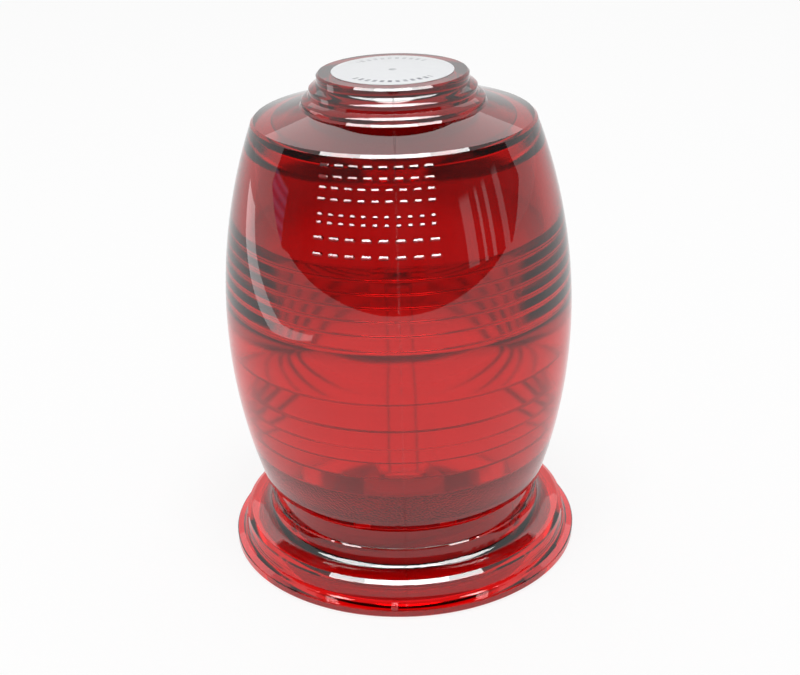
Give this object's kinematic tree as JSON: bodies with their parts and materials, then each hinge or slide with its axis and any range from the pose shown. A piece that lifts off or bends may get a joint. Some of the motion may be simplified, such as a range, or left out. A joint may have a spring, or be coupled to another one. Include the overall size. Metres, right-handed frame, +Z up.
{
  "type": "all-round navigation light",
  "caption": "Red all-round navigation light: barrel-shaped dioptric globe with stepped top and flange, screwed onto a round base with a wedge bulb.",
  "frame": {"origin": "centre of the mounting face, on the globe's axis", "axes": "+Z up along the globe's axis, away from the deck; +Y towards the cable entry"},
  "size_m": [0.076, 0.076, 0.1044],
  "materials": {
    "red_polycarbonate": "clear moulded red, polished",
    "label_white": "white vinyl",
    "grey_rubber": "moulded",
    "grey_nylon": "moulded",
    "cream_phenolic": "moulded",
    "brass": "turned",
    "spring_brass": "stamped strip",
    "stainless": "turned",
    "clear_glass": "blown clear",
    "nickel_wire": "drawn wire",
    "tungsten": "coiled wire"
  },
  "bodies": {
    "base": {"base_plate": "grey_nylon", "deck_gasket": "grey_rubber", "fixing_bushes": "brass", "cable_grommet": "grey_rubber", "lamp_post": "grey_nylon", "post_screws": "stainless", "lamp_socket": "cream_phenolic", "terminal_inserts": "brass", "contact_strip_left": "spring_brass", "contact_strip_right": "spring_brass"},
    "seal": {"seal_ring": "grey_rubber"},
    "globe": {"globe": "red_polycarbonate", "top_label": "label_white"},
    "bulb": {"bulb_glass": "clear_glass", "lead_wires": "nickel_wire", "filament": "tungsten"},
    "clamp_left": {"wire_clamp_left": "brass"},
    "screw_left": {"terminal_screw_left": "stainless"},
    "clamp_right": {"wire_clamp_right": "brass"},
    "screw_right": {"terminal_screw_right": "stainless"}
  },
  "joints": [
    {"name": "globe_turn", "type": "hinge", "parent": "base", "child": "seal", "pos_m": [0, 0, 0], "axis": [0, 0, 1], "range_deg": [0, 1080]},
    {"name": "globe_rise", "type": "slide", "parent": "seal", "child": "globe", "axis": [0, 0, 1], "range_m": [0, 0.0721]},
    {"name": "bulb_pull", "type": "slide", "parent": "base", "child": "bulb", "axis": [0, 0, 1], "range_m": [0, 0.025]},
    {"name": "clamp_left_rise", "type": "slide", "parent": "base", "child": "clamp_left", "axis": [0, 0, 1], "range_m": [0, 0.0014]},
    {"name": "screw_left_turn", "type": "hinge", "parent": "clamp_left", "child": "screw_left", "pos_m": [-0.0132, 0, 0.009], "axis": [0, 0, 1], "range_deg": [0, 720.5]},
    {"name": "clamp_right_rise", "type": "slide", "parent": "base", "child": "clamp_right", "axis": [0, 0, 1], "range_m": [0, 0.0014]},
    {"name": "screw_right_turn", "type": "hinge", "parent": "clamp_right", "child": "screw_right", "pos_m": [0.0132, 0, 0.009], "axis": [0, 0, 1], "range_deg": [0, 720.5]}
  ],
  "couplings": [
    {"joint": "globe_rise", "follows": "globe_turn", "m_per_rad": 0.0038197},
    {"joint": "screw_left_turn", "follows": "clamp_left_rise", "rad_per_m": 8976},
    {"joint": "screw_right_turn", "follows": "clamp_right_rise", "rad_per_m": 8976}
  ]
}
